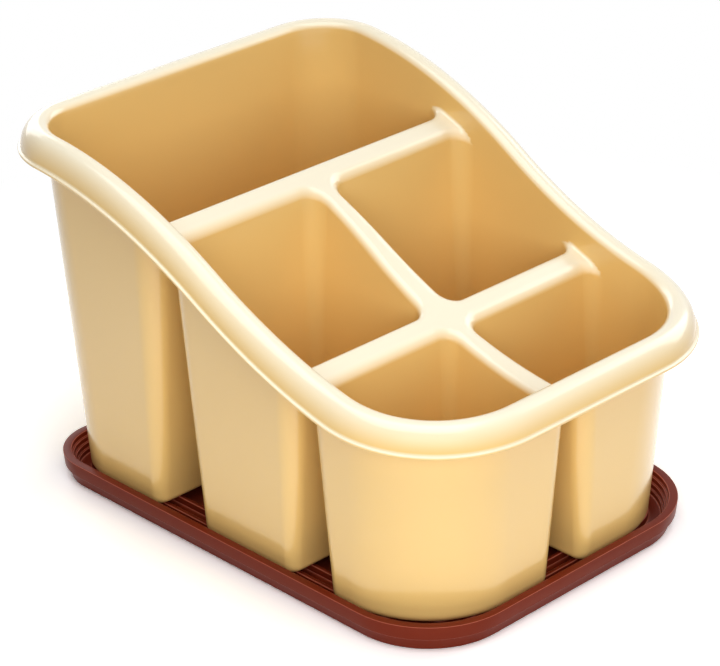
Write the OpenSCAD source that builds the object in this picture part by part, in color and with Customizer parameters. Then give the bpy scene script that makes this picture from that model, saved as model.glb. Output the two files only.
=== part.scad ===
// Cutlery drainer: a five-cup moulding with a sweeping rim, standing in a shallow drip tray.
// Millimetres. X is across the drainer, Y runs from the low front (-) to the tall rear (+),
// Z is up, and the tray's underside is at zero. The moulding is drawn as its rolled rim and its cups,
// which meet face to face along the middles of the partitions.

/* [Drainer rim] */
// Length over the rim
rim_length = 192; // [170:1:230]
// Width over the rim at the tall end
rim_width = 150; // [120:1:180]
// Height of the rim at the low front
rim_low = 75; // [60:0.5:95]
// Height of the rim at the tall rear
rim_high = 125; // [110:0.5:160]
// Reach of the rolled rim, from the mouth's edge outward
rim_reach = 10; // [7:0.5:14]
// Fall of the rolled rim, from the mouth's edge to its lower edge
rim_fall = 7.2; // [5:0.1:10]
// Rise of the roll's crest over the mouth's edge
rim_crown = 0.8; // [0.3:0.1:2]
// Distance from the front of the mouth to where the rim starts to rise
low_shelf = 0; // [0:1:20]
// Distance from the front of the mouth to the steepest point of the rim
bend_from_front = 86; // [70:1:100]
// Distance from the rear of the mouth to where the rim stops rising
high_shelf = 5; // [0:1:12]
// How far the bead stands out from the rim's apron
bead_out = 0.9; // [0.5:0.1:1.5]
// Height of the bead along the rim's lower edge
bead_h = 1.1; // [0.6:0.1:2]

/* [Drainer cups] */
// Thickness of the moulded wall
wall = 1.6; // [1.2:0.1:2.4]
// Thickness of the cup floors
floor_t = 2; // [1.2:0.1:3]
// Corner radius of the mouth at the front
front_r = 32; // [20:1:38]
// Corner radius of the mouth at the rear
rear_r = 17; // [14:1:30]
// Corner radius of a cup beside a partition, at the height of the tall rim
cup_r_top = 7.2; // [5:0.1:9]
// Corner radius of a cup beside a partition, at its foot
cup_r_foot = 2.4; // [2:0.1:7]
// Rounding of the cups' lower edges
foot_r = 2; // [1:0.5:3]
// Slope of the long side walls, in degrees
side_draft = 3.1; // [1:0.1:4]
// Slope of the front wall, in degrees
front_draft = 3; // [1:0.1:4]
// Slope of the rear wall, in degrees
rear_draft = 2.9; // [1:0.1:4]

/* [Partitions] */
// Width of a partition between the faces of two cups, at its crest
partition_w = 8.4; // [7:0.2:12]
// Slope of a partition's faces, in degrees
partition_draft = 4.2; // [2:0.1:4.5]
// Rounding where a partition's crest turns down into a cup
partition_r = 2.6; // [1.5:0.1:3.4]
// Distance from the mouth's rear to the middle of the rear partition
rear_cup_l = 60.2; // [52:0.1:70]
// Distance from the mouth's front to the middle of the front partition
front_cup_l = 52.5; // [45:0.1:60]
// Depth of the partitions under the rim at the low front
partition_drop_low = 11; // [8:0.1:18]
// Depth of the partitions under the rim at the tall rear
partition_drop_high = 9.6; // [6:0.1:18]
// How far the partitions' fall runs on past the front of the mouth
partition_run_on = 4; // [0:1:10]
// Distance from the front of the mouth to the partitions' steepest point
partition_bend_from_front = 81; // [70:1:95]

/* [Drain holes] */
// Diameter of a drain hole in a cup floor
drain_d = 5; // [3:0.5:7]
// Spacing of the drain holes
drain_pitch = 17; // [12:1:24]
// Least distance from a drain hole to a cup's wall
drain_margin = 6; // [4:1:12]

/* [Drip tray] */
// Thickness of the tray's floor and wall
tray_t = 1.8; // [1.2:0.1:2.6]
// Height of the tray over its lip
tray_h = 9.8; // [9:0.2:16]
// Height of the step between the tray's two tiers
tier_h = 5; // [4:0.2:6.4]
// Width of the step between the tray's two tiers
tier_step = 1.1; // [0.6:0.1:2]
// Outward lean of each tier
tier_lean = 0.5; // [0:0.1:1]
// Number of small steps down the inside of the wall
inner_steps = 3; // [1:1:4]
// Width of the lip beyond the tray's wall
lip_out = 1.1; // [0.8:0.1:3]
// Thickness of the lip
lip_t = 1.6; // [1.2:0.1:3]
// Corner radius of the tray's foot at the front
tray_front_r = 27; // [18:1:34]
// Corner radius of the tray's foot at the rear
tray_rear_r = 16; // [13:1:30]
// Gap between the cups' feet and the foot of the tray's inner wall
tray_room = 0.7; // [0.4:0.1:4]
// Height of the floor ribs that carry the cups
rib_h = 2.4; // [1.5:0.1:4]
// Width of a floor rib
rib_t = 1.6; // [1:0.1:3]
// Distance from the tray's wall to the first floor rib, and from rib to rib
rib_pitch = 6; // [5:0.5:8]
// Number of floor ribs, one inside the other
rib_count = 2; // [1:1:2]
// Gap between the cups' undersides and the floor ribs
seat_gap = 0.3; // [0.1:0.1:0.6]

/* [Hidden] */

cream = [0.93, 0.84, 0.66];
brown = [0.45, 0.19, 0.13];
slab_h = 0.01;
over = 2;
mouth_half_l = rim_length / 2 - rim_reach;
mouth_half_w = rim_width / 2 - rim_reach;
base_z = tray_t + rib_h + seat_gap;
top_z = rim_high + rim_crown + over;

rear_part_y = mouth_half_l - rear_cup_l;
front_part_y = -mouth_half_l + front_cup_l;
bend_y = -mouth_half_l + bend_from_front;
partition_bend_y = -mouth_half_l + partition_bend_from_front;

// A smooth S between two levels: a parabola that leaves lo at y_lo, and one that meets hi at y_hi,
// joined without a kink at y_bend.
function s_curve(y, lo, hi, y_lo, y_bend, y_hi) =
    let (rise = (hi - lo) / (y_hi - y_lo))
    y <= y_lo ? lo :
    y >= y_hi ? hi :
    y < y_bend ? lo + rise * pow(y - y_lo, 2) / (y_bend - y_lo)
               : hi - rise * pow(y_hi - y, 2) / (y_hi - y_bend);

// Height of the mouth's edge, and of the partitions' crests, along the drainer
function rim_z(y) = s_curve(y, rim_low, rim_high, low_shelf - mouth_half_l, bend_y,
                            mouth_half_l - high_shelf);
function crest_z(y) = s_curve(y, rim_low - partition_drop_low, rim_high - partition_drop_high,
                              -mouth_half_l - partition_run_on, partition_bend_y,
                              mouth_half_l - high_shelf);

// Inner faces of the drafted outer walls, by height
function half_w(z) = mouth_half_w - tan(side_draft) * (rim_high - z);
function front_y(z) = -mouth_half_l + tan(front_draft) * (rim_low - z);
function rear_y(z) = mouth_half_l - tan(rear_draft) * (rim_high - z);

// Half the width of a partition at height z, when its crest is at height crest
function part_half(z, crest) = partition_w / 2 + tan(partition_draft) * (crest - z);

// The three kinds of cup, all on the left: rear (the full width), middle and front
REAR = 0;
MIDDLE = 1;
FRONT = 2;

rear_crest = crest_z(rear_part_y);
front_crest = crest_z(front_part_y);
middle_long_crest = crest_z((rear_part_y + front_part_y) / 2);
front_long_crest = crest_z((front_part_y - mouth_half_l) / 2);

// Inner faces of a cup at height z: left, right, front and rear
function cup_faces(cup, z) =
    cup == REAR ? [-half_w(z), half_w(z), rear_part_y + part_half(z, rear_crest), rear_y(z)] :
    cup == MIDDLE ? [-half_w(z), -part_half(z, middle_long_crest),
                     front_part_y + part_half(z, front_crest),
                     rear_part_y - part_half(z, rear_crest)] :
    [-half_w(z), -part_half(z, front_long_crest), front_y(z),
     front_part_y - part_half(z, front_crest)];

// Corner radii of a cup at height z: front left, front right, rear right and rear left
function cup_r(z) = cup_r_foot + (cup_r_top - cup_r_foot) * (z - base_z) / (rim_high - base_z);
function cup_radii(cup, z) =
    cup == REAR ? [cup_r(z), cup_r(z), rear_r, rear_r] :
    cup == MIDDLE ? [cup_r(z), cup_r(z), cup_r(z), cup_r(z)] :
    [front_r, cup_r(z), cup_r(z), cup_r(z)];

// Faces and radii of the whole mouth, by height
function mouth_faces(z) = [-half_w(z), half_w(z), front_y(z), rear_y(z)];
mouth_radii = [front_r, front_r, rear_r, rear_r];

// Centre of corner k, counted anticlockwise from the front left
function corner(faces, radii, k) =
    [k == 0 || k == 3 ? faces[0] + radii[k] : faces[1] - radii[k],
     k < 2 ? faces[2] + radii[k] : faces[3] - radii[k]];

// The outline of a rounded form as stations: [first corner, second corner, share, angle]
least_r = 0.3;
function stations(arc_steps, side_steps) =
    [for (k = [0:3]) each concat(
        [for (i = [0:arc_steps]) [k, k, 0, 180 + 90 * k + 90 * i / arc_steps]],
        [for (i = [1:1:side_steps[k] - 1]) [k, (k + 1) % 4, i / side_steps[k], 270 + 90 * k]])];
function grown(r, grow) = max(r + grow, least_r);
function station_point(s, faces, radii, grow) =
    (1 - s[2]) * (corner(faces, radii, s[0]) + grown(radii[s[0]], grow) * [cos(s[3]), sin(s[3])])
    + s[2] * (corner(faces, radii, s[1]) + grown(radii[s[1]], grow) * [cos(s[3]), sin(s[3])]);

// One level of a rounded four-sided form
level_outline = stations(8, [1, 1, 1, 1]);
module level(faces, radii, z, grow) {
    translate([0, 0, z])
        linear_extrude(slab_h)
            polygon([for (s = level_outline) station_point(s, faces, radii, grow)]);
}

// A cup's faces with those on the outside pushed out a little, for the mouth's form to trim
trim = 0.1;
end_trim = 0.16;
function loose_faces(cup, z) =
    cup_faces(cup, z) + (cup == REAR ? [-trim, trim, 0, end_trim] :
                         cup == MIDDLE ? [-trim, 0, 0, 0] :
                         [-trim, 0, -end_trim, 0]);

// A cup's tapering form from z0 up to z1, grown by the wall's thickness for its outside
module cup_level(cup, z, grow) {
    level(loose_faces(cup, z), cup_radii(cup, z), z, grow);
}
module cup_form(cup, z0, z1, grow) {
    hull() {
        cup_level(cup, z0, grow - foot_r);
        cup_level(cup, z0 + foot_r / 3, grow - foot_r / 4);
        cup_level(cup, z0 + foot_r, grow);
        cup_level(cup, z1, grow);
    }
}

// The mouth's tapering form, which gives the drainer's outer walls their two faces
module mouth_form(grow) {
    hull()
        for (z = [base_z - over, top_z])
            level(mouth_faces(z), mouth_radii, z, grow);
}

// Repeats a cup on the right where the drainer has two of its kind
module both_sides(cup) {
    children();
    if (cup != REAR)
        mirror([1, 0, 0]) children();
}

// Everything inside the drainer's box between two heights that follow its length
curve_steps = 30;
module lengthwise(heights_low, heights_high) {
    rotate([90, 0, 90])
        linear_extrude(rim_width + 2 * over, center = true)
            polygon(concat(heights_low, [for (i = [len(heights_high) - 1:-1:0]) heights_high[i]]));
}
curve_ys = [for (i = [0:curve_steps]) (rim_length + 2 * over) * (i / curve_steps - 0.5)];
function at_rim(shift) = [for (y = curve_ys) [y, rim_z(y) + shift]];
function at_crest(shift) = [for (y = curve_ys) [y, crest_z(y) + shift]];
function at_level(z) = [for (y = [curve_ys[0], curve_ys[curve_steps]]) [y, z]];

// Joins rings of points, all of one length, into a closed skin, looped or with flat ends
module loft(rings, looped = false) {
    n = len(rings[0]);
    m = len(rings);
    skin = [for (j = [0:(looped ? m - 1 : m - 2)], i = [0:n - 1], half = [0, 1])
        let (here = j * n, next = (j + 1) % m * n, k = (i + 1) % n)
        half == 0 ? [here + i, next + k, here + k] : [here + i, next + i, next + k]];
    ends = looped ? [] : [[for (i = [0:n - 1]) i], [for (i = [n - 1:-1:0]) (m - 1) * n + i]];
    polyhedron(points = [for (ring = rings, p = ring) p], faces = concat(skin, ends));
}

// The rounded mouth of a cup, where the partitions' crests turn down into it
mouth_steps = 3;
mouth_outline = stations(5, [4, 4, 4, 4]);
mouth_turn = [for (i = [0:mouth_steps])
    partition_r * [1 - cos(90 * i / mouth_steps), sin(90 * i / mouth_steps) - 1]];
mouth_rings = concat([[-trim, -partition_r - trim]],
                     [for (q = mouth_turn) q + trim / 2 * [-1, 1]],
                     [[partition_r, rim_high]]);
module cup_mouth(cup) {
    loft([for (ring = mouth_rings) [for (s = mouth_outline)
        let (low = station_point(s, cup_faces(cup, front_crest), cup_radii(cup, front_crest), 0),
             z = crest_z(low[1]),
             p = station_point(s, loose_faces(cup, z), cup_radii(cup, z), ring[0]))
        [p[0], p[1], crest_z(p[1]) + ring[1]]]]);
}

// The rolled rim: its section, as [reach, height] from the mouth's edge, carried round the mouth
roll_steps = 5;
roll_turn = 80;
roll_x = 3.2;
roll_in = 1.6;
root_h = 0.6;
apron_x = rim_reach - bead_out;
apron_h = rim_fall - bead_h + rim_crown;
bead_edge = 0.2;
function roll(x, z, i) =
    [roll_x + (x - roll_x) * sin(roll_turn * i / roll_steps),
     z + apron_h * (cos(roll_turn * i / roll_steps) - 1)];
rim_section = concat(
    [[trim, -rim_fall]],
    [for (turn = [0:30:90])
        [roll_x - (roll_x + 2 * trim) * cos(turn), (rim_crown + roll_in) * sin(turn) - roll_in]],
    [for (i = [1:roll_steps]) roll(apron_x, rim_crown, i)],
    [[apron_x, bead_h - rim_fall], [rim_reach, bead_h - rim_fall - bead_edge],
     [rim_reach, -rim_fall], [apron_x - wall, -rim_fall]],
    [for (i = [roll_steps - 1:-1:0]) roll(apron_x - wall, rim_crown - wall, i)],
    [[wall + 2 * trim, -roll_in - root_h], [wall / 2, -roll_in - 2 * root_h], [wall / 2, -rim_fall]]);
rim_outline = stations(8, [1, 16, 1, 16]);
function mouth_point(s, z, grow) = station_point(s, mouth_faces(z), mouth_radii, grow);
function rim_height(s) = rim_z(mouth_point(s, rim_z(mouth_point(s, rim_high, 0)[1]), 0)[1]);
module rim_roll() {
    loft([for (s = rim_outline) [for (q = rim_section)
        let (z = rim_height(s), p = mouth_point(s, z, q[0]))
        [p[0], p[1], z + q[1]]]], looped = true);
}

// Drain holes in a cup's floor, on a grid about the middle of the floor
module drain_holes(cup) {
    faces = cup_faces(cup, base_z);
    inset = drain_margin + drain_d / 2;
    nx = floor((faces[1] - faces[0] - 2 * inset) / drain_pitch);
    ny = floor((faces[3] - faces[2] - 2 * inset) / drain_pitch);
    for (i = [0:nx], j = [0:ny])
        translate([(faces[0] + faces[1]) / 2 + (i - nx / 2) * drain_pitch,
                   (faces[2] + faces[3]) / 2 + (j - ny / 2) * drain_pitch, base_z - over])
            cylinder(d = drain_d, h = floor_t + 2 * over, $fn = 12);
}

// The outside of the cups and of the skin that joins them under the partitions' crests
module drainer_outside() {
    intersection() {
        mouth_form(wall);
        lengthwise(at_level(base_z - over), at_rim(-roll_in - trim));
        union() {
            for (cup = [REAR, MIDDLE, FRONT])
                both_sides(cup) cup_form(cup, base_z, rim_high, wall);
            lengthwise(at_crest(-wall), at_level(top_z + over));
        }
    }
}

// The open space in the cups and over the partitions
module drainer_inside() {
    intersection() {
        mouth_form(0);
        union() {
            for (cup = [REAR, MIDDLE, FRONT])
                both_sides(cup) {
                    cup_form(cup, base_z + floor_t, crest_z(cup_faces(cup, base_z)[3]), 0);
                    cup_mouth(cup);
                }
            lengthwise(at_crest(0), at_level(top_z + over));
        }
    }
}

// The rolled rim, seated on the top and the outer face of the walls
module rim() {
    color(cream)
    difference() {
        rim_roll();
        drainer_outside();
        drainer_inside();
    }
}

// One cup with its share of the walls and partitions, from y0 to y1 and from x0 to x1
module cup_shell(cup, x0, x1, y0, y1) {
    color(cream)
    difference() {
        intersection() {
            drainer_outside();
            translate([x0, y0, 0])
                cube([x1 - x0, y1 - y0, top_z]);
        }
        drainer_inside();
        both_sides(cup) drain_holes(cup);
    }
}

module rear_cup() {
    cup_shell(REAR, -rim_width, rim_width, rear_part_y, rim_length);
}
module middle_left_cup() {
    cup_shell(MIDDLE, -rim_width, 0, front_part_y, rear_part_y);
}
module middle_right_cup() {
    cup_shell(MIDDLE, 0, rim_width, front_part_y, rear_part_y);
}
module front_left_cup() {
    cup_shell(FRONT, -rim_width, 0, -rim_length, front_part_y);
}
module front_right_cup() {
    cup_shell(FRONT, 0, rim_width, -rim_length, front_part_y);
}

// Half sizes of the tray's outside at its foot, taken from the cups' feet
tray_half_w = half_w(base_z) + wall + tray_room + tray_t;
tray_half_l = max(-front_y(base_z), rear_y(base_z)) + wall + tray_room + tray_t;
tray_faces = [-tray_half_w, tray_half_w, -tray_half_l, tray_half_l];
tray_radii = [tray_front_r, tray_front_r, tray_rear_r, tray_rear_r];

// Section of the tray's wall, as [distance outside the foot's outline, height]: two tiers and a lip
// outside, and small steps inside
edge = 0.5;
tier_x = tier_lean + tier_step;
head_x = tier_x + tier_lean;
lip_x = head_x + lip_out;
inner_step_w = head_x / inner_steps;
inner_step_h = (tray_h - tray_t) / (inner_steps + 1);
tray_section = concat(
    [[-2 * tray_t, 0], [-edge, 0], [0, edge], [tier_lean, tier_h], [tier_x, tier_h + edge],
     [head_x, tray_h - lip_t], [lip_x - edge, tray_h - lip_t], [lip_x, tray_h - lip_t + edge],
     [lip_x, tray_h - edge], [lip_x - edge, tray_h], [head_x - tray_t, tray_h]],
    [for (i = [1:inner_steps], back = [1, 0])
        [head_x - tray_t - (i - back) * inner_step_w, tray_h - i * inner_step_h]],
    [[-tray_t, tray_t], [-2 * tray_t, tray_t]]);

// A rounded outline inside the tray's foot, drawn so that its corners stay true arcs
module tray_outline(inset) {
    radii = [for (r = tray_radii) r - inset];
    faces = [for (k = [0:3]) tray_faces[k] + (k % 2 == 0 ? inset : -inset)];
    polygon([for (s = stations(1, [1, 1, 1, 1])) station_point(s, faces, radii, 0)]);
    for (k = [0:3])
        translate(corner(faces, radii, k))
            circle(r = radii[k], $fn = 96);
}

// The tray's wall: one section turned round four corners and drawn along four sides
module tray_wall() {
    for (k = [0:3]) {
        here = corner(tray_faces, tray_radii, k);
        start = here + tray_radii[k] * [cos(270 + 90 * k), sin(270 + 90 * k)];
        next = corner(tray_faces, tray_radii, (k + 1) % 4);
        end = next + tray_radii[(k + 1) % 4] * [cos(270 + 90 * k), sin(270 + 90 * k)];
        translate([here[0], here[1], 0])
            rotate([0, 0, 180 + 90 * k])
                rotate_extrude(angle = 90, $fn = 96)
                    polygon([for (q = tray_section) [tray_radii[k] + q[0], q[1]]]);
        translate([end[0], end[1], 0])
            rotate([90, 0, 270 + 90 * k])
                linear_extrude(norm(end - start))
                    polygon(tray_section);
    }
}

module drip_tray() {
    color(brown)
    union() {
        tray_wall();
        linear_extrude(tray_t)
            tray_outline(1.5 * tray_t);
        for (i = [1:rib_count])
            translate([0, 0, tray_t / 2])
                linear_extrude(tray_t / 2 + rib_h)
                    difference() {
                        tray_outline(i * rib_pitch);
                        tray_outline(i * rib_pitch + rib_t);
                    }
    }
}

rim();
rear_cup();
middle_left_cup();
middle_right_cup();
front_left_cup();
front_right_cup();
drip_tray();
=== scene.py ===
"""A cutlery drainer in cream plastic with five cups, standing loose in its brown drip tray."""
import math

import bpy
import numpy as np
from mathutils import Matrix, Vector


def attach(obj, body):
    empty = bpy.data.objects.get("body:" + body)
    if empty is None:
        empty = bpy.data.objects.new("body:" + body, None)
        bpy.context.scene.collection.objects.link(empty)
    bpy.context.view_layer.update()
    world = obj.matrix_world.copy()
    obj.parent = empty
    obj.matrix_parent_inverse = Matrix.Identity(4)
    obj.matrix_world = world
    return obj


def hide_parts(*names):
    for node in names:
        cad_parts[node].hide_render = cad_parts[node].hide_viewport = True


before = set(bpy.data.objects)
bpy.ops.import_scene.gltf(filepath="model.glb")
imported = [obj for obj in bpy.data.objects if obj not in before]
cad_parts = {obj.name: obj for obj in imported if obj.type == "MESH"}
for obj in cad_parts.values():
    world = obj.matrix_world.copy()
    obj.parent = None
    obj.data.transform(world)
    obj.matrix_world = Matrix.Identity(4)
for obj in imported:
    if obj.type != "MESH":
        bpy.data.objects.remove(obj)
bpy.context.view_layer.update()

# Sizes are in millimetres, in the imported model's frame, and meshes are written in metres
MM = 0.001

# Drainer: rim, walls and cups
RIM_LENGTH = 192.0
RIM_WIDTH = 150.0
RIM_LOW = 75.0
RIM_HIGH = 125.0
RIM_REACH = 10.0
RIM_FALL = 8.2
RIM_CROWN = 0.8
HIGH_SHELF = 5.0
RIM_BEND_FROM_FRONT = 86.0
WALL = 1.6
BASE_Z = 4.5
FLOOR_Z = BASE_Z + WALL
FRONT_R = 32.0
REAR_R = 17.0
CUP_R_TOP = 7.2
CUP_R_FOOT = 2.4
FOOT_R = 0.6
SIDE_SLOPE = math.tan(math.radians(3.1))
FRONT_SLOPE = math.tan(math.radians(3.0))
REAR_SLOPE = math.tan(math.radians(2.9))

# Drainer: partitions
PARTITION_W = 8.4
PARTITION_SLOPE = math.tan(math.radians(4.2))
PARTITION_R = 2.4
PARTITION_END_R = 1.0
REAR_CUP_L = 60.2
FRONT_CUP_L = 52.5
DROP_LOW = 11.0
DROP_HIGH = 9.6
CREST_RUN_ON = 4.0
CREST_BEND_FROM_FRONT = 81.0

# Drainer: drain holes
DRAIN_D = 5.0
DRAIN_PITCH = 17.0
DRAIN_MARGIN = 6.0

# Drip tray: floor, wall in two bands, lip and ribs
TRAY_T = 1.8
TRAY_H = 9.8
TRAY_ROOM = 0.7
TRAY_FRONT_R = 27.0
TRAY_REAR_R = 16.0
TIER_H = 5.0
TIER_STEP = 1.1
TIER_LEAN = 0.5
INNER_STEPS = 3
LIP_OUT = 1.1
LIP_SUNK = 0.8
RIB_H = 2.4
RIB_T = 1.6
RIB_PITCH = 6.0
RIB_COUNT = 2

# Drip tray: its lower band's foot and head, its upper band's lower edge, and small radii
TRAY_FOOT_IN = 3.0
TRAY_FOOT_OUT = 0.7
TRAY_FOOT_R = 0.4
TIER_HEAD_DOWN = (0.7, 0.3)
TIER_HEAD_OUT = 0.1
BAND_Z = TIER_H - 0.6
BAND_LEAN = 0.4
EDGE_R = 0.22
LIP_IN_R = 0.4
STEP_EDGE_R = 0.25
STEP_FOOT_R = 0.2
TRAY_FLOOR_R = 0.6
RIB_R = 0.5
RIB_FOOT_H = 0.3
RIB_FOOT_OUT = 0.1

# Places that follow from the sizes
MOUTH_L = RIM_LENGTH / 2 - RIM_REACH
MOUTH_W = RIM_WIDTH / 2 - RIM_REACH
REAR_PART_Y = MOUTH_L - REAR_CUP_L
FRONT_PART_Y = FRONT_CUP_L - MOUTH_L


def s_curve(y, low, high, y_low, y_bend, y_high):
    """A smooth S from one level to another: two parabolas joined without a kink."""
    rise = (high - low) / (y_high - y_low)
    up = low + rise * np.clip(y - y_low, 0, None) ** 2 / (y_bend - y_low)
    down = high - rise * np.clip(y_high - y, 0, None) ** 2 / (y_high - y_bend)
    return np.where(y < y_bend, up, down)


def rim_z(y):
    """The height of the rim's edge along the drainer."""
    return s_curve(y, RIM_LOW, RIM_HIGH, -MOUTH_L,
                   RIM_BEND_FROM_FRONT - MOUTH_L, MOUTH_L - HIGH_SHELF)


def crest_z(y):
    """The height of the partitions' crests along the drainer."""
    return s_curve(y, RIM_LOW - DROP_LOW, RIM_HIGH - DROP_HIGH, -MOUTH_L - CREST_RUN_ON,
                   CREST_BEND_FROM_FRONT - MOUTH_L, MOUTH_L - HIGH_SHELF)


def half_w(z):
    """Half the width between the side walls' inner faces."""
    return MOUTH_W - SIDE_SLOPE * (RIM_HIGH - z)


def front_y(z):
    """The front wall's inner face."""
    return -MOUTH_L + FRONT_SLOPE * (RIM_LOW - z)


def rear_y(z):
    """The rear wall's inner face."""
    return MOUTH_L - REAR_SLOPE * (RIM_HIGH - z)


# Heights of the crests across the drainer, and amid the two stretches of the lengthwise one
REAR_CREST = crest_z(REAR_PART_Y)
FRONT_CREST = crest_z(FRONT_PART_Y)
MIDDLE_LONG_CREST = crest_z((REAR_PART_Y + FRONT_PART_Y) / 2)
FRONT_LONG_CREST = crest_z((FRONT_PART_Y - MOUTH_L) / 2)


def partition_half(z, crest):
    """Half the gap between the two cups that a partition stands between."""
    return PARTITION_W / 2 + PARTITION_SLOPE * (crest - z)


def cup_r(z):
    """The radius of the cups' upright corners."""
    return CUP_R_FOOT + (CUP_R_TOP - CUP_R_FOOT) * (z - BASE_Z) / (RIM_HIGH - BASE_Z)


# Distances to the drainer's surfaces, in millimetres, negative inside
CREST_SLOPE_STEP = 0.5


def round_union(a, b, r):
    """To what is in either, with the inner edge between them rounded."""
    return np.maximum(r, np.minimum(a, b)) - np.hypot(np.maximum(r - a, 0), np.maximum(r - b, 0))


def round_common(a, b, r):
    """To what is in both, with the edge between them rounded."""
    return np.minimum(-r, np.maximum(a, b)) + np.hypot(np.maximum(r + a, 0), np.maximum(r + b, 0))


def mouth_distance(x, y, z):
    """To the tapering, round-cornered space inside the drainer's outer walls."""
    low, high = front_y(z), rear_y(z)
    r = np.where(y < (low + high) / 2, FRONT_R, REAR_R)
    return round_common(np.abs(x) - half_w(z), np.abs(y - (low + high) / 2) - (high - low) / 2, r)


def wells_distance(x, y, z):
    """To the cups' wells, as their partitions bound them; the outer walls are left to the mouth."""
    rear_half = partition_half(z, REAR_CREST)
    front_half = partition_half(z, FRONT_CREST)
    rear = REAR_PART_Y + rear_half - y
    low, high = FRONT_PART_Y + front_half, REAR_PART_Y - rear_half
    middle = round_common(partition_half(z, MIDDLE_LONG_CREST) - np.abs(x),
                          np.abs(y - (low + high) / 2) - (high - low) / 2, cup_r(z))
    front = round_common(partition_half(z, FRONT_LONG_CREST) - np.abs(x),
                         y - FRONT_PART_Y + front_half, cup_r(z))
    return np.minimum(rear, np.minimum(middle, front))


def space_distance(x, y, z):
    """To the open space in the cups and over the partitions."""
    rise = crest_z(y + CREST_SLOPE_STEP) - crest_z(y - CREST_SLOPE_STEP)
    crest_slope = rise / (2 * CREST_SLOPE_STEP)
    over = (crest_z(y) - z) / np.sqrt(1 + crest_slope ** 2)
    mouth = mouth_distance(x, y, z)
    wells = round_common(mouth, wells_distance(x, y, z), cup_r(z))
    over = round_common(mouth, over, PARTITION_END_R)
    space = np.maximum(mouth, round_union(wells, over, PARTITION_R))
    return round_common(space, FLOOR_Z - z, FOOT_R)


def drain_centres():
    """Places of the drain holes, on a grid about the middle of each cup's floor."""
    side = half_w(BASE_Z)
    long_half = partition_half(BASE_Z, MIDDLE_LONG_CREST), partition_half(BASE_Z, FRONT_LONG_CREST)
    rear_half = partition_half(BASE_Z, REAR_CREST)
    front_half = partition_half(BASE_Z, FRONT_CREST)
    cups = [(-side, side, REAR_PART_Y + rear_half, rear_y(BASE_Z))]
    for sign in (-1, 1):
        cups.append((sign * side, sign * long_half[0],
                     FRONT_PART_Y + front_half, REAR_PART_Y - rear_half))
        cups.append((sign * side, sign * long_half[1],
                     front_y(BASE_Z), FRONT_PART_Y - front_half))
    inset = DRAIN_MARGIN + DRAIN_D / 2
    centres = []
    for x0, x1, y0, y1 in cups:
        nx = int((abs(x1 - x0) - 2 * inset) / DRAIN_PITCH)
        ny = int((y1 - y0 - 2 * inset) / DRAIN_PITCH)
        for i in range(nx + 1):
            for j in range(ny + 1):
                centres.append(((x0 + x1) / 2 + (i - nx / 2) * DRAIN_PITCH,
                                (y0 + y1) / 2 + (j - ny / 2) * DRAIN_PITCH))
    return centres


DRAINS = drain_centres()

# How far below the rim's edge the skin ends, out of sight in the rolled rim
SKIN_TOP = 3.0


def cut_distance(x, y, z):
    """To what is cut from the skin: all above its hidden top edge, and the drain holes."""
    cut = np.array(z - rim_z(y) + SKIN_TOP)
    low = z < FLOOR_Z + 2 * WALL
    px, py = x[low], y[low]
    hole = np.full(px.shape, -DRAIN_PITCH)
    for cx, cy in DRAINS:
        hole = np.maximum(hole, DRAIN_D / 2 - np.hypot(px - cx, py - cy))
    cut[low] = np.maximum(cut[low], hole)
    return cut


def shell_distance(space):
    """To the skin round the open space, before any cuts."""
    return np.abs(space - WALL / 2) - WALL / 2


def skin_distance(x, y, z):
    """To the drainer's moulded skin, which follows the open space at one thickness."""
    return np.maximum(shell_distance(space_distance(x, y, z)), cut_distance(x, y, z))


# How points are moved onto a surface
SLOPE_STEP = 0.02
SETTLE_ROUNDS = 3
SETTLE_REACH = 0.8
LEAST_SLOPE_SQUARED = 0.25
TINY = 1e-9


def slope_of(distance, points):
    """How the distance rises along each axis."""
    slope = np.empty_like(points)
    for axis in range(3):
        shift = np.zeros(3)
        shift[axis] = SLOPE_STEP
        rise = distance(*(points + shift).T) - distance(*(points - shift).T)
        slope[:, axis] = rise / (2 * SLOPE_STEP)
    return slope


def settle(points, distance):
    """Moves points onto the surface, and returns them with the surface's normals there."""
    for _ in range(SETTLE_ROUNDS):
        slope = slope_of(distance, points)
        size = np.maximum((slope ** 2).sum(1), LEAST_SLOPE_SQUARED)
        step = np.clip(distance(*points.T) / size, -SETTLE_REACH, SETTLE_REACH)
        points = points - step[:, None] * slope
    normals = slope_of(distance, points)
    return points, normals / np.maximum(np.linalg.norm(normals, axis=1, keepdims=True), TINY)


def sheet_of(points):
    """The skin's face that points lie on, 0 inside and 1 outside, and whether they lie on a cut."""
    space = space_distance(*points.T)
    return (space > WALL / 2).astype(int), cut_distance(*points.T) > shell_distance(space)


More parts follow.
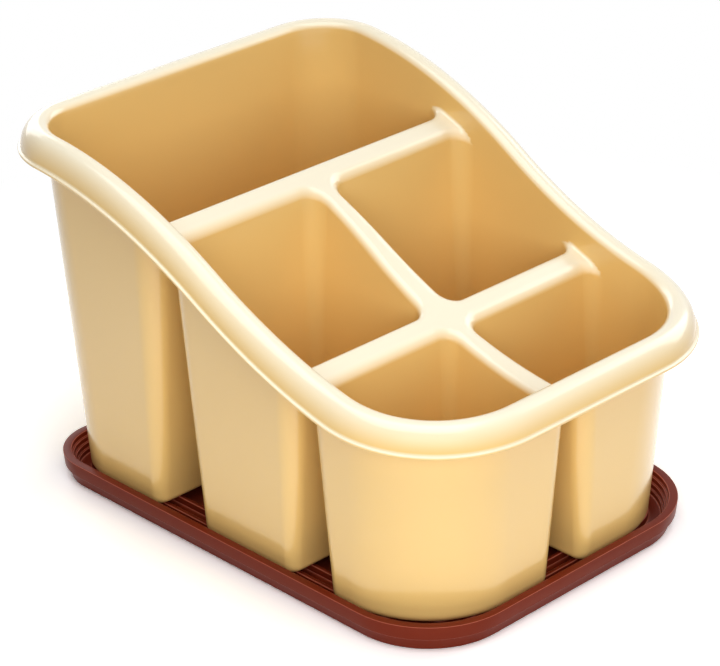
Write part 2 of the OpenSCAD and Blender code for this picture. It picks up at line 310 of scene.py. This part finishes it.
def surface_net(field, grid):
    """Joins by quads the points where the skin crosses a grid, one for each face in a cell."""
    inside = field < 0
    cells = tuple(n - 1 for n in field.shape)
    total = np.zeros(cells + (2, 3))
    count = np.zeros(cells + (2,))
    cut_cells = np.zeros(cells, bool)
    crossings = []
    for axis in range(3):
        near, far = [slice(None)] * 3, [slice(None)] * 3
        near[axis], far[axis] = slice(None, -1), slice(1, None)
        near, far = tuple(near), tuple(far)
        at = np.array(np.nonzero(inside[near] != inside[far]))
        b, c = (axis + 1) % 3, (axis + 2) % 3
        at = at[:, (at[b] > 0) & (at[b] < cells[b]) & (at[c] > 0) & (at[c] < cells[c])]
        start, end = field[near][tuple(at)], field[far][tuple(at)]
        share = (start / (start - end))[:, None]
        points = grid[near][tuple(at)] * (1 - share) + grid[far][tuple(at)] * share
        sheet, cut = sheet_of(points)
        ring = []
        for db, dc in ((1, 1), (0, 1), (0, 0), (1, 0)):
            cell = at.copy()
            cell[b] -= db
            cell[c] -= dc
            np.add.at(total, (*cell, sheet), points)
            np.add.at(count, (*cell, sheet), 1)
            cut_cells[tuple(cell[:, cut])] = True
            ring.append(np.ravel_multi_index((*cell, sheet), count.shape))
        ring = np.array(ring).T
        entering = start > 0
        ring[entering] = ring[entering][:, ::-1]
        crossings.append(ring)
    total[cut_cells] = total[cut_cells].sum(1, keepdims=True)
    count[cut_cells] = count[cut_cells].sum(1, keepdims=True)
    quads = np.concatenate(crossings)
    cut = cut_cells.ravel()[quads // 2]
    quads[cut] -= quads[cut] % 2
    used, quads = np.unique(quads, return_inverse=True)
    return total.reshape(-1, 3)[used] / count.reshape(-1, 1)[used], quads.reshape(-1, 4)


def make_object(name, points, faces, normals=None, sharp=None):
    """A smooth mesh with the surface's own normals, or with edges sharp from an angle on."""
    mesh = bpy.data.meshes.new(name)
    mesh.from_pydata((np.asarray(points) * MM).tolist(), [], [list(map(int, f)) for f in faces])
    mesh.validate()
    mesh.shade_smooth()
    if normals is not None:
        mesh.normals_split_custom_set_from_vertices(normals.tolist())
    elif sharp is not None:
        mesh.set_sharp_from_angle(angle=math.radians(sharp))
    piece = bpy.data.objects.new(name, mesh)
    bpy.context.scene.collection.objects.link(piece)
    return piece


# The grid over the drainer: its pitch, a shift off the drainer's own planes, the spare room about
# the faces that it leans with, its levels over the cups' floors and about the crests, and the
# gaps between and above them
NET_STEP = 1.15
NET_SHIFT = 0.13
NET_ROOM = 3 * WALL
LEAN_SPARE = 1
LEAN_MIDDLE = 0.6
FOOT_LEVELS = np.array([-2.4, -1.9, -1.2, -0.5, 0.2, 0.9, 1.7, 2.8, 4.2])
CREST_LEVELS = np.array([-8, -6.5, -5.2, -4.2, -3.4, -2.6, -1.9, -1.2, -0.6, 0.0, 0.5,
                         1.0, 1.7, 2.5, 3.4])
LOWER_GAPS = 9
UPPER_GAPS = 4
TOP_SPARE = 0.8


def lean(places, knots, slopes, heights, z):
    """How far grid lines lean at height z, to follow the faces of walls and partitions."""
    slope = np.interp(places, knots, slopes)
    start = np.interp(places, knots, np.multiply(slopes, heights))
    return start[:, None] - slope[:, None] * z


def net_grid():
    """A grid over the drainer that is dense at the floors and crests and leans with the walls."""
    room_x, room_y = MOUTH_W + NET_ROOM, MOUTH_L + NET_ROOM
    xs = np.arange(-room_x, room_x + NET_STEP, NET_STEP)
    ys = np.arange(-room_y, room_y + NET_STEP, NET_STEP) + NET_SHIFT
    crest, rim = crest_z(ys)[:, None], rim_z(ys)[:, None]
    foot = FLOOR_Z + FOOT_LEVELS + 0 * crest
    near_crest = crest + CREST_LEVELS
    share = np.linspace(0, 1, LOWER_GAPS + 1)[1:-1]
    lower = foot[:, -1:] + share * (near_crest[:, :1] - foot[:, -1:])
    share = np.linspace(0, 1, UPPER_GAPS + 1)[1:]
    upper = near_crest[:, -1:] + share * (rim - SKIN_TOP + TOP_SPARE - near_crest[:, -1:])
    zs = np.concatenate([foot, lower, near_crest, upper], axis=1)
    half = PARTITION_W / 2 - LEAN_SPARE
    turn = PARTITION_W / 2 + CUP_R_TOP + LEAN_SPARE
    front, rear = FRONT_PART_Y, REAR_PART_Y
    y_knots = (FRONT_R - MOUTH_L - 2 * LEAN_SPARE,
               front - turn, front - half, front + half, front + turn,
               rear - turn, rear - half, rear + half, rear + turn,
               MOUTH_L - REAR_R - LEAN_SPARE)
    y_slopes = np.array([0, -1, -1, 1, 1, -1, -1, 1, 1, 0]) * PARTITION_SLOPE
    y_slopes[[0, -1]] = FRONT_SLOPE, -REAR_SLOPE
    y_heights = (RIM_LOW,) + 4 * (FRONT_CREST,) + 4 * (REAR_CREST,) + (RIM_HIGH,)
    x_knots = (0, LEAN_MIDDLE, turn, MOUTH_W - FRONT_R)
    partition_share = np.interp(np.abs(xs), x_knots, (0, 1, 1, 0))[:, None, None]
    before_rear = np.interp(ys, (rear - half, rear + half), (1, 0))[None, :, None]
    partition_share = partition_share * before_rear
    side_share = np.interp(np.abs(xs), x_knots, (0, 0, 0, 1))[:, None, None]
    x_lean = (partition_share * PARTITION_SLOPE * np.maximum(MIDDLE_LONG_CREST - zs, 0)
              - side_share * SIDE_SLOPE * (RIM_HIGH - zs))
    grid = np.empty((len(xs), len(ys), zs.shape[1], 3))
    grid[..., 0] = xs[:, None, None] + np.sign(xs)[:, None, None] * x_lean
    grid[..., 1] = ys[None, :, None] + lean(ys, y_knots, y_slopes, y_heights, zs)
    grid[..., 2] = zs
    return grid


def make_cups():
    """The cups, their partitions and outer walls: one skin of even thickness."""
    grid = net_grid()
    points, quads = surface_net(skin_distance(*np.moveaxis(grid, -1, 0)), grid)
    points, normals = settle(points, skin_distance)
    return make_object("drainer_skin", points, quads, normals=normals)


def outline(faces, radii, grow, arc_steps, side_steps):
    """Stations round a rounded four-sided outline: points, anticlockwise from the front left."""
    x0, x1, y0, y1 = faces
    corners = ((x0, y0, 1, 1), (x1, y0, -1, 1), (x1, y1, -1, -1), (x0, y1, 1, -1))
    points = []
    for k in range(4):
        x, y, sx, sy = corners[k]
        centre = np.array([x + sx * radii[k], y + sy * radii[k]])
        angles = np.radians(180 + 90 * k + 90 * np.arange(arc_steps + 1) / arc_steps)
        turn = np.stack([np.cos(angles), np.sin(angles)], 1)
        points.append(centre + (radii[k] + grow) * turn)
    loop = []
    for k in range(4):
        loop.append(points[k])
        share = (np.arange(1, side_steps[k]) / side_steps[k])[:, None]
        loop.append(points[k][-1] * (1 - share) + points[(k + 1) % 4][0] * share)
    return np.concatenate(loop)


def arc(cx, cy, rx, ry, start, end, steps):
    """Points along part of an ellipse, from one angle to another in degrees."""
    angles = np.radians(np.linspace(start, end, steps + 1))
    return [(cx + rx * math.cos(a), cy + ry * math.sin(a)) for a in angles]


# The rolled rim's section: its bead, the bead's overlap and the hem inside it, its roll, and the
# strips that join it to the wall
BEAD_R = 0.55
BEAD_OVERLAP = 0.2
HEM_OUT = 0.6
HEM_BEVEL = 0.2
ROLL_X = 3.2
ROLL_IN = 1.6
ROLL_PROUD = 0.03
INNER_STRIP = [(WALL / 2, -8.0), (0.3, -7.8), (0.05, -7.0), (0.0, -5.0), (-ROLL_PROUD, -3.0)]
OUTER_STRIP = [(WALL + 0.9, -1.4), (WALL + 0.3, -2.2), (WALL + 0.05, -3.4), (WALL / 2, -4.2)]
RIM_STATIONS = dict(arc_steps=28, side_steps=(20, 90, 30, 90))


def rim_section():
    """The rolled rim's section: distance out from the mouth's face, and height over its edge."""
    apron_x = RIM_REACH - 2 * BEAD_R + BEAD_OVERLAP
    apron_in = apron_x - WALL
    drop = RIM_FALL + RIM_CROWN - 2 * BEAD_R
    apron_z = RIM_CROWN - drop
    roll = arc(ROLL_X, -ROLL_IN, ROLL_X + ROLL_PROUD, ROLL_IN + RIM_CROWN, 180, 90, 12)
    apron = arc(ROLL_X, apron_z, apron_x - ROLL_X, drop, 84, 6, 22) + [(apron_x, apron_z)]
    bead = arc(RIM_REACH - BEAD_R, BEAD_R - RIM_FALL, BEAD_R, BEAD_R, 105, -90, 10)
    hem = [(apron_x - HEM_OUT, -RIM_FALL), (apron_in + HEM_BEVEL, -RIM_FALL + HEM_BEVEL)]
    under = arc(ROLL_X, apron_z - WALL / 2, apron_in - ROLL_X, drop - WALL / 2, 6, 84, 14)
    return np.array(INNER_STRIP + roll + apron + bead + hem + under + OUTER_STRIP)


def make_rim():
    """The rolled rim, its section carried round the mouth and up the S of the walls."""
    radii = (FRONT_R, FRONT_R, REAR_R, REAR_R)

    def mouth_outline(z, grow):
        """Stations at a height of their own each, found one height at a time."""
        loop = np.empty((len(z), 2))
        for i, height in enumerate(z):
            faces = (-half_w(height), half_w(height), front_y(height), rear_y(height))
            loop[i] = outline(faces, radii, grow, **RIM_STATIONS)[i]
        return loop

    flat = outline((-MOUTH_W, MOUTH_W, -MOUTH_L, MOUTH_L), radii, 0, **RIM_STATIONS)
    height = rim_z(flat[:, 1])
    height = rim_z(mouth_outline(height, 0)[:, 1])
    out = mouth_outline(height, 1.0) - mouth_outline(height, 0)
    rings = []
    for reach, rise in rim_section():
        wall_rise = rise if reach < WALL else 0
        base = mouth_outline(height + wall_rise, 0)
        rings.append(np.column_stack([base + reach * out, height + rise]))
    return sweep("rolled_rim", rings, closed=True)


def sweep(name, rings, closed, sharp=None):
    """Joins rings of points into a skin: closed on itself, or ended by a flat face at both ends."""
    n, m = len(rings[0]), len(rings)
    i = np.arange(n)
    k = (i + 1) % n
    faces = []
    for j in range(m if closed else m - 1):
        here, there = j * n, (j + 1) % m * n
        faces.extend(np.column_stack([here + i, here + k, there + k, there + i]).tolist())
    if not closed:
        faces.append(list(range(n))[::-1])
        faces.append([(m - 1) * n + a for a in range(n)])
    return make_object(name, np.concatenate(rings), faces, sharp=sharp)


# The middle of the tray's underside, at half its outline, and the stations round the tray
UNDER_MIDDLE = -30.0
TRAY_STATIONS = dict(arc_steps=20, side_steps=(12, 20, 12, 20))
TRAY_SHARP = 40


def tray_section():
    """The tray's section: distance out from the foot's outline, and height."""
    tier_x = TIER_LEAN + TIER_STEP
    head_x = tier_x + TIER_LEAN
    inner = head_x - TRAY_T
    lip_x, lip_z = head_x + LIP_OUT, TRAY_H - LIP_SUNK
    section = [(UNDER_MIDDLE, 0.0), (-TRAY_FOOT_IN, 0.0)]
    section += arc(TRAY_FOOT_OUT - TRAY_FOOT_R, TRAY_FOOT_R, TRAY_FOOT_R, TRAY_FOOT_R, -90, 0, 5)
    section += [(tier_x - TIER_HEAD_OUT, BAND_Z - TIER_HEAD_DOWN[0]),
                (tier_x + TIER_HEAD_OUT, BAND_Z - TIER_HEAD_DOWN[1])]
    section += arc(lip_x - BAND_LEAN - EDGE_R, BAND_Z + EDGE_R, EDGE_R, EDGE_R, -80, 0, 4)
    section += arc(lip_x - EDGE_R, lip_z - EDGE_R, EDGE_R, EDGE_R, 5, 85, 5)
    section += arc(inner + LIP_IN_R, lip_z - LIP_IN_R, LIP_IN_R, LIP_IN_R, 90, 180, 5)
    step_w, step_h = head_x / INNER_STEPS, (lip_z - TRAY_T) / (INNER_STEPS + 1)
    for i in range(INNER_STEPS):
        x, z = inner - step_w * i, lip_z - step_h * (i + 1)
        section += [(x, z + 2 * STEP_FOOT_R)]
        section += arc(x - STEP_FOOT_R, z + STEP_FOOT_R, STEP_FOOT_R, -STEP_FOOT_R, 0, 90, 3)
        x, z = x - step_w + STEP_EDGE_R, z - STEP_EDGE_R
        section += arc(x, z, STEP_EDGE_R, STEP_EDGE_R, 90, 180, 3)
    x, z = -TRAY_T - TRAY_FLOOR_R, TRAY_T + TRAY_FLOOR_R
    section += arc(x, z, TRAY_FLOOR_R, -TRAY_FLOOR_R, 0, 90, 4)
    for i in range(1, RIB_COUNT + 1):
        out, inward = -i * RIB_PITCH, -i * RIB_PITCH - RIB_T
        z = TRAY_T + RIB_H - RIB_R
        section += [(out + RIB_R, TRAY_T), (out + RIB_FOOT_OUT, TRAY_T + RIB_FOOT_H)]
        section += arc(out - RIB_R, z, RIB_R, RIB_R, 0, 90, 4)
        section += arc(inward + RIB_R, z, RIB_R, RIB_R, 90, 180, 4)
        section += [(inward - RIB_FOOT_OUT, TRAY_T + RIB_FOOT_H), (inward - RIB_R, TRAY_T)]
    return section


def make_tray():
    """The drip tray, its section carried round its foot's outline."""
    half_x = half_w(BASE_Z) + WALL + TRAY_ROOM + TRAY_T
    half_y = max(-front_y(BASE_Z), rear_y(BASE_Z)) + WALL + TRAY_ROOM + TRAY_T
    faces = (-half_x, half_x, -half_y, half_y)
    radii = (TRAY_FRONT_R, TRAY_FRONT_R, TRAY_REAR_R, TRAY_REAR_R)
    rings = []
    for grow, z in tray_section():
        if grow == UNDER_MIDDLE:
            loop = 0.5 * outline(faces, radii, 0, **TRAY_STATIONS)
        else:
            loop = outline(faces, radii, grow, **TRAY_STATIONS)
        rings.append(np.column_stack([loop, np.full(len(loop), z)]))
    return sweep("tray_shell", rings, closed=False, sharp=TRAY_SHARP)


# Materials


def add_node(tree, kind, values=(), sources=(), **settings):
    """A new node with its settings, its sockets' values and the outputs that feed them."""
    node = tree.nodes.new("ShaderNode" + kind)
    for name, value in settings.items():
        setattr(node, name, value)
    for socket, value in dict(values).items():
        node.inputs[socket].default_value = value
    for socket, source in dict(sources).items():
        tree.links.new(source, node.inputs[socket])
    return node


# How much a painted highlight pales the skin, by the upward part of its normal
PAINTED_HIGHLIGHT_TOPS = ((0.1, 0), (0.9, 1))
# On sloping edges, facing up or down, for thin painted highlight lines
PAINTED_HIGHLIGHT_EDGES = ((0.35, 0), (0.6, 1), (0.8, 1), (0.97, 0))

# Drift of the colour, and the flow marks in the gloss and the skin
CLOUD = {"Scale": 14, "Detail": 3}
FLOW = {"Scale": 1, "Detail": 4}
ROUGHNESS_DRIFT = 0.05
UNEVEN = {"Strength": 0.015, "Distance": 0.001}
PLASTIC_IOR = 1.5
COAT_IOR = 1.6


def plastic(name, colour, deep, highlight_colour, highlight_ramp, both_ways, lowest, roughness, specular, coat,
            streaks):
    """A moulded plastic with a drifting colour, a painted highlight that pales it by slope, and
    flow marks.
    """
    material = bpy.data.materials.new(name)
    material.use_nodes = True
    tree = material.node_tree
    shader = tree.nodes["Principled BSDF"]
    shader.inputs["IOR"].default_value = PLASTIC_IOR
    shader.inputs["Specular IOR Level"].default_value = specular
    shader.inputs["Coat Weight"].default_value = coat
    shader.inputs["Coat IOR"].default_value = COAT_IOR
    shader.inputs["Coat Roughness"].default_value = roughness / 2
    place = add_node(tree, "TexCoord").outputs
    cloud = add_node(tree, "TexNoise", CLOUD, {"Vector": place["Object"]})
    drift = add_node(tree, "Mix", data_type="RGBA", values={"A": (*colour, 1), "B": (*deep, 1)},
                     sources={"Factor": cloud.outputs["Fac"]})
    # Painted highlight: the colour turns pale by the slope of the normal, and only above the lowest
    # height
    slope = add_node(tree, "SeparateXYZ", sources={"Vector": place["Normal"]}).outputs["Z"]
    if both_ways:
        slope = add_node(tree, "Math", sources={0: slope}, operation="ABSOLUTE").outputs["Value"]
    ramp = add_node(tree, "ValToRGB", sources={"Fac": slope})
    stops = ramp.color_ramp.elements
    ready = len(stops)
    for i, (at, value) in enumerate(highlight_ramp):
        stop = stops[i] if i < ready else stops.new(at)
        stop.position, stop.color = at, (value, value, value, 1)
    height = add_node(tree, "SeparateXYZ", sources={"Vector": place["Object"]}).outputs["Z"]
    above = add_node(tree, "MapRange", {"From Min": lowest, "From Max": 2 * lowest},
                     {"Value": height}, interpolation_type="SMOOTHSTEP")
    highlight_share = add_node(tree, "Math", operation="MULTIPLY",
                   sources={0: ramp.outputs["Color"], 1: above.outputs["Result"]})
    # The painted highlight, mixed into the drifting colour
    highlighted = add_node(tree, "Mix", data_type="RGBA", values={"B": (*highlight_colour, 1)},
                    sources={"Factor": highlight_share.outputs["Value"], "A": drift.outputs["Result"]})
    stretch = add_node(tree, "Mapping", {"Scale": streaks}, {"Vector": place["Object"]})
    flow = add_node(tree, "TexNoise", FLOW, {"Vector": stretch.outputs["Vector"]}).outputs["Fac"]
    rough = add_node(tree, "MapRange", {"To Min": roughness - ROUGHNESS_DRIFT,
                                        "To Max": roughness + ROUGHNESS_DRIFT}, {"Value": flow})
    bump = add_node(tree, "Bump", UNEVEN, {"Height": flow})
    tree.links.new(highlighted.outputs["Result"], shader.inputs["Base Color"])
    tree.links.new(rough.outputs["Result"], shader.inputs["Roughness"])
    tree.links.new(bump.outputs["Normal"], shader.inputs["Normal"])
    return material


# Cream: a painted highlight pales its upward-facing tops, such as the rim's crown and the crests,
# above the cups' floors
CREAM = plastic(
    "cream_plastic", colour=(0.88, 0.59, 0.21), deep=(0.86, 0.57, 0.19), highlight_colour=(0.95, 0.86, 0.65),
    highlight_ramp=PAINTED_HIGHLIGHT_TOPS, both_ways=False, lowest=0.02, roughness=0.34, specular=0.2, coat=1.0,
    streaks=(90, 90, 8))
# Brown: thin painted highlight lines on its bevelled edges, which slope up or down
BROWN = plastic(
    "brown_plastic", colour=(0.18, 0.022, 0.008), deep=(0.15, 0.018, 0.006),
    highlight_colour=(0.50, 0.140, 0.090), highlight_ramp=PAINTED_HIGHLIGHT_EDGES, both_ways=True, lowest=0.001, roughness=0.35,
    specular=0.1, coat=0.0, streaks=(60, 60, 60))


def dress(piece, material, body, nodes):
    """Gives a piece its material and the body that it rides on, and hides the nodes that it stands
    for.
    """
    piece.data.materials.append(material)
    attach(piece, body)
    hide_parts(*nodes)


CUPS = ("rear_cup", "middle_left_cup", "middle_right_cup", "front_left_cup", "front_right_cup")
dress(make_cups(), CREAM, "drainer", CUPS)
dress(make_rim(), CREAM, "drainer", ("rim",))
dress(make_tray(), BROWN, "tray", ("drip_tray",))


# Stage, in metres: a white floor that keeps the shadow, soft lamps and the photograph's camera. The
# floor has a colour for the light that it throws back, which fades with distance, and one as it
# is seen, which gives way to plain white far out. The ambient light comes from all round.
FLOOR_HALF = 4.0
FLOOR_BELOW = 0.0002
SHEET_RADIUS = 0.16
SHEET_FADE = 0.35
SHEET_WHITE = 0.95
SHEET_DARK = 0.1
FLOOR_SEEN = 1.45
FAR_FROM = 0.17
FAR_TO = 0.30
AMBIENT = (0.12, 0.12, 0.12)


def seen_rays(tree):
    """1 for the rays that show the background: from the camera, from gloss and through glass."""
    rays = add_node(tree, "LightPath").outputs
    value = rays["Is Camera Ray"]
    for kind in ("Is Glossy Ray", "Is Transmission Ray"):
        either = add_node(tree, "Math", sources={0: value, 1: rays[kind]}, operation="MAXIMUM")
        value = either.outputs["Value"]
    return value


def make_floor():
    """A white sheet that keeps the shadow near the object, and is plain white beyond it."""
    mesh = bpy.data.meshes.new("floor")
    signs = ((-1, -1), (1, -1), (1, 1), (-1, 1))
    corners = [(sx * FLOOR_HALF, sy * FLOOR_HALF, 0) for sx, sy in signs]
    mesh.from_pydata(corners, [], [(0, 1, 2, 3)])
    floor = bpy.data.objects.new("floor", mesh)
    floor.location.z = -FLOOR_BELOW
    bpy.context.scene.collection.objects.link(floor)
    material = bpy.data.materials.new("white_floor")
    material.use_nodes = True
    tree = material.node_tree
    tree.nodes.remove(tree.nodes["Principled BSDF"])
    place = add_node(tree, "TexCoord").outputs["Object"]
    distance = add_node(tree, "VectorMath", sources={0: place}, operation="LENGTH").outputs["Value"]
    near = add_node(tree, "MapRange", {
        "From Min": SHEET_RADIUS, "From Max": SHEET_RADIUS + SHEET_FADE,
        "To Min": SHEET_WHITE, "To Max": SHEET_DARK,
    }, {"Value": distance}, interpolation_type="SMOOTHSTEP")
    seen = seen_rays(tree)
    white = add_node(tree, "Mix", data_type="RGBA", values={"B": (FLOOR_SEEN,) * 3 + (1,)},
                     sources={"Factor": seen, "A": near.outputs["Result"]})
    sheet = add_node(tree, "BsdfDiffuse", sources={"Color": white.outputs["Result"]})
    far = add_node(tree, "MapRange", {"From Min": FAR_FROM, "From Max": FAR_TO},
                   {"Value": distance}, interpolation_type="SMOOTHSTEP")
    bare = add_node(tree, "Math", sources={0: far.outputs["Result"], 1: seen},
                    operation="MULTIPLY")
    glow = add_node(tree, "Emission")
    both = add_node(tree, "MixShader", sources={
        "Fac": bare.outputs["Value"], 1: sheet.outputs["BSDF"], 2: glow.outputs["Emission"]})
    tree.links.new(both.outputs["Shader"], tree.nodes["Material Output"].inputs["Surface"])
    floor.data.materials.append(material)


def make_world():
    """Even light all round, and a white background where it is seen."""
    world = bpy.data.worlds.new("studio")
    bpy.context.scene.world = world
    world.use_nodes = True
    tree = world.node_tree
    colour = add_node(tree, "Mix", data_type="RGBA",
                      values={"A": (*AMBIENT, 1), "B": (1, 1, 1, 1)},
                      sources={"Factor": seen_rays(tree)})
    tree.links.new(colour.outputs["Result"], tree.nodes["Background"].inputs["Color"])


def add_lamp(name, place, aim, size, power, glossy=True):
    """A soft lamp aimed at the object, which the gloss shows or not."""
    light = bpy.data.lights.new(name, "AREA")
    light.shape = "RECTANGLE"
    light.size, light.size_y = size
    light.energy = power
    lamp = bpy.data.objects.new(name, light)
    lamp.location = place
    lamp.visible_camera = False
    lamp.visible_glossy = glossy
    lamp.rotation_euler = (Vector(aim) - Vector(place)).to_track_quat("-Z", "Y").to_euler()
    bpy.context.scene.collection.objects.link(lamp)


# The camera as fitted to the photograph's edges: angles in degrees, lengths in millimetres
CAMERA_ANGLES = (-44.486, 26.223, -0.683)
CAMERA_TARGET = (-62.699, -58.939, 100.194)
CAMERA_DISTANCE = 812.287
FOCAL_PX = 2867.771
WIDTH_PX = 720
SENSOR = 36.0


def make_camera():
    """The photograph's camera."""
    azimuth, elevation, roll = (math.radians(a) for a in CAMERA_ANGLES)
    back = np.array([math.sin(azimuth) * math.cos(elevation),
                     -math.cos(azimuth) * math.cos(elevation), math.sin(elevation)])
    level = np.array([math.cos(azimuth), math.sin(azimuth), 0])
    upright = np.cross(back, level)
    data = bpy.data.cameras.new("camera")
    data.sensor_fit = "HORIZONTAL"
    data.sensor_width = SENSOR
    data.lens = FOCAL_PX * SENSOR / WIDTH_PX
    camera = bpy.data.objects.new("camera", data)
    pose = np.eye(4)
    pose[:3, 0] = math.cos(roll) * level + math.sin(roll) * upright
    pose[:3, 1] = math.cos(roll) * upright - math.sin(roll) * level
    pose[:3, 2] = back
    pose[:3, 3] = (np.array(CAMERA_TARGET) + CAMERA_DISTANCE * back) * MM
    camera.matrix_world = Matrix(pose.tolist())
    bpy.context.scene.collection.objects.link(camera)
    bpy.context.scene.camera = camera


make_floor()
make_world()
add_lamp("key", place=(-0.34, -0.42, 0.24), aim=(0, -0.02, 0.06), size=(0.45, 0.30), power=1.95,
         glossy=False)
add_lamp("top", place=(-0.10, -0.10, 0.92), aim=(0, 0, 0.06), size=(0.8, 0.8), power=4.5)
add_lamp("right", place=(0.80, -0.16, 0.50), aim=(0, 0, 0.06), size=(0.6, 0.6), power=2.8)
add_lamp("back", place=(0.20, 0.85, 0.45), aim=(0, 0, 0.06), size=(0.6, 0.6), power=2.4)
make_camera()
bpy.context.scene.view_settings.view_transform = "Standard"
